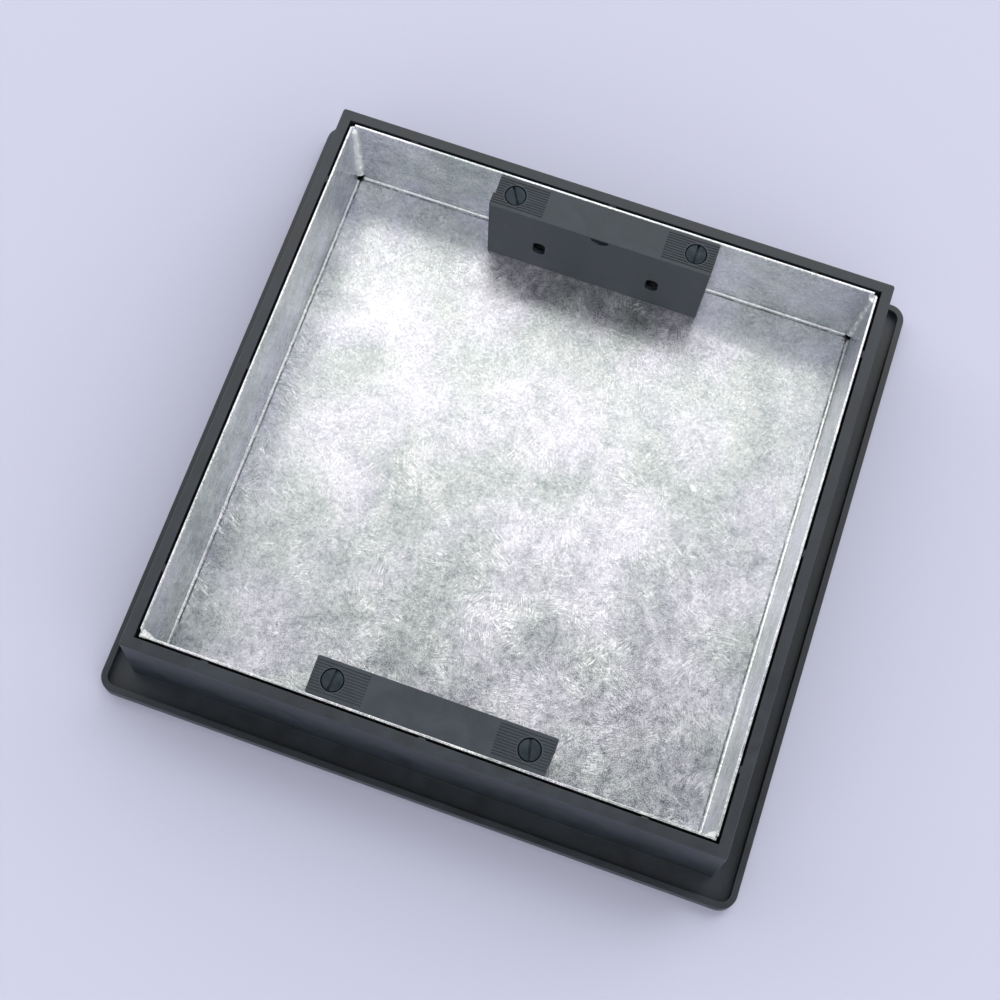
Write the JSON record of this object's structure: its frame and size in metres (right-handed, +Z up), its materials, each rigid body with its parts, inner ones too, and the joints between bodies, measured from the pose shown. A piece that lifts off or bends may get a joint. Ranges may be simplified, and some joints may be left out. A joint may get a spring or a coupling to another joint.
{
  "type": "recessed access cover",
  "caption": "Square recessed access cover: moulded frame with a wide lipped flange, lift-out folded steel tray for paving, and key blocks locked by slotted screws.",
  "frame": {"origin": "centre of the frame's flat underside, on the bedding surface", "axes": "+Z up towards the paving, +Y to the far side, +X to the right side"},
  "size_m": [0.392, 0.392, 0.08],
  "materials": {
    "frame_polypropylene": "fine spark-eroded moulding texture, slate grey",
    "block_polypropylene": "fine moulded texture, slate grey, slightly lighter than the frame",
    "galvanised_steel": "hot-dip galvanised, faint spangle, rolling scratches and handling marks",
    "screw_steel": "dark zinc passivation, satin",
    "zinc_plated_steel": "bright zinc plating",
    "seal_rubber": "matte EPDM rubber",
    "insert_brass": "turned and knurled brass",
    "rivet_aluminium": "plain aluminium"
  },
  "bodies": {
    "frame": {"frame": "frame_polypropylene", "seal": "seal_rubber", "thread_insert_far_left": "insert_brass", "thread_insert_far_right": "insert_brass", "thread_insert_near_left": "insert_brass", "thread_insert_near_right": "insert_brass"},
    "tray": {"tray": "galvanised_steel", "key_block_far": "block_polypropylene", "key_block_near": "block_polypropylene", "rivet_far_left": "rivet_aluminium", "rivet_far_right": "rivet_aluminium", "rivet_near_left": "rivet_aluminium", "rivet_near_right": "rivet_aluminium"},
    "washers_far_left": {"screw_washer_far_left": "zinc_plated_steel", "o_ring_far_left": "seal_rubber"},
    "screw_far_left": {"lock_screw_far_left": "screw_steel", "retaining_clip_far_left": "zinc_plated_steel"},
    "washers_far_right": {"screw_washer_far_right": "zinc_plated_steel", "o_ring_far_right": "seal_rubber"},
    "screw_far_right": {"lock_screw_far_right": "screw_steel", "retaining_clip_far_right": "zinc_plated_steel"},
    "washers_near_left": {"screw_washer_near_left": "zinc_plated_steel", "o_ring_near_left": "seal_rubber"},
    "screw_near_left": {"lock_screw_near_left": "screw_steel", "retaining_clip_near_left": "zinc_plated_steel"},
    "washers_near_right": {"screw_washer_near_right": "zinc_plated_steel", "o_ring_near_right": "seal_rubber"},
    "screw_near_right": {"lock_screw_near_right": "screw_steel", "retaining_clip_near_right": "zinc_plated_steel"}
  },
  "joints": [
    {"name": "tray_lift", "type": "slide", "parent": "frame", "child": "tray", "axis": [0, 0, 1], "range_m": [0, 0.1]},
    {"name": "screw_rise_far_left", "type": "slide", "parent": "tray", "child": "washers_far_left", "axis": [0, 0, 1], "range_m": [0, 0.006]},
    {"name": "screw_turn_far_left", "type": "hinge", "parent": "washers_far_left", "child": "screw_far_left", "pos_m": [-0.0572, 0.1551, 0.08], "axis": [0, 0, 1], "range_deg": [0, 2165]},
    {"name": "screw_rise_far_right", "type": "slide", "parent": "tray", "child": "washers_far_right", "axis": [0, 0, 1], "range_m": [0, 0.006]},
    {"name": "screw_turn_far_right", "type": "hinge", "parent": "washers_far_right", "child": "screw_far_right", "pos_m": [0.0572, 0.1551, 0.08], "axis": [0, 0, 1], "range_deg": [0, 2165]},
    {"name": "screw_rise_near_left", "type": "slide", "parent": "tray", "child": "washers_near_left", "axis": [0, 0, 1], "range_m": [0, 0.006]},
    {"name": "screw_turn_near_left", "type": "hinge", "parent": "washers_near_left", "child": "screw_near_left", "pos_m": [-0.0572, -0.1551, 0.08], "axis": [0, 0, 1], "range_deg": [0, 2165]},
    {"name": "screw_rise_near_right", "type": "slide", "parent": "tray", "child": "washers_near_right", "axis": [0, 0, 1], "range_m": [0, 0.006]},
    {"name": "screw_turn_near_right", "type": "hinge", "parent": "washers_near_right", "child": "screw_near_right", "pos_m": [0.0572, -0.1551, 0.08], "axis": [0, 0, 1], "range_deg": [0, 2165]}
  ],
  "couplings": [
    {"joint": "screw_turn_far_left", "follows": "screw_rise_far_left", "rad_per_m": 6283.2},
    {"joint": "screw_turn_far_right", "follows": "screw_rise_far_right", "rad_per_m": 6283.2},
    {"joint": "screw_turn_near_left", "follows": "screw_rise_near_left", "rad_per_m": 6283.2},
    {"joint": "screw_turn_near_right", "follows": "screw_rise_near_right", "rad_per_m": 6283.2}
  ]
}
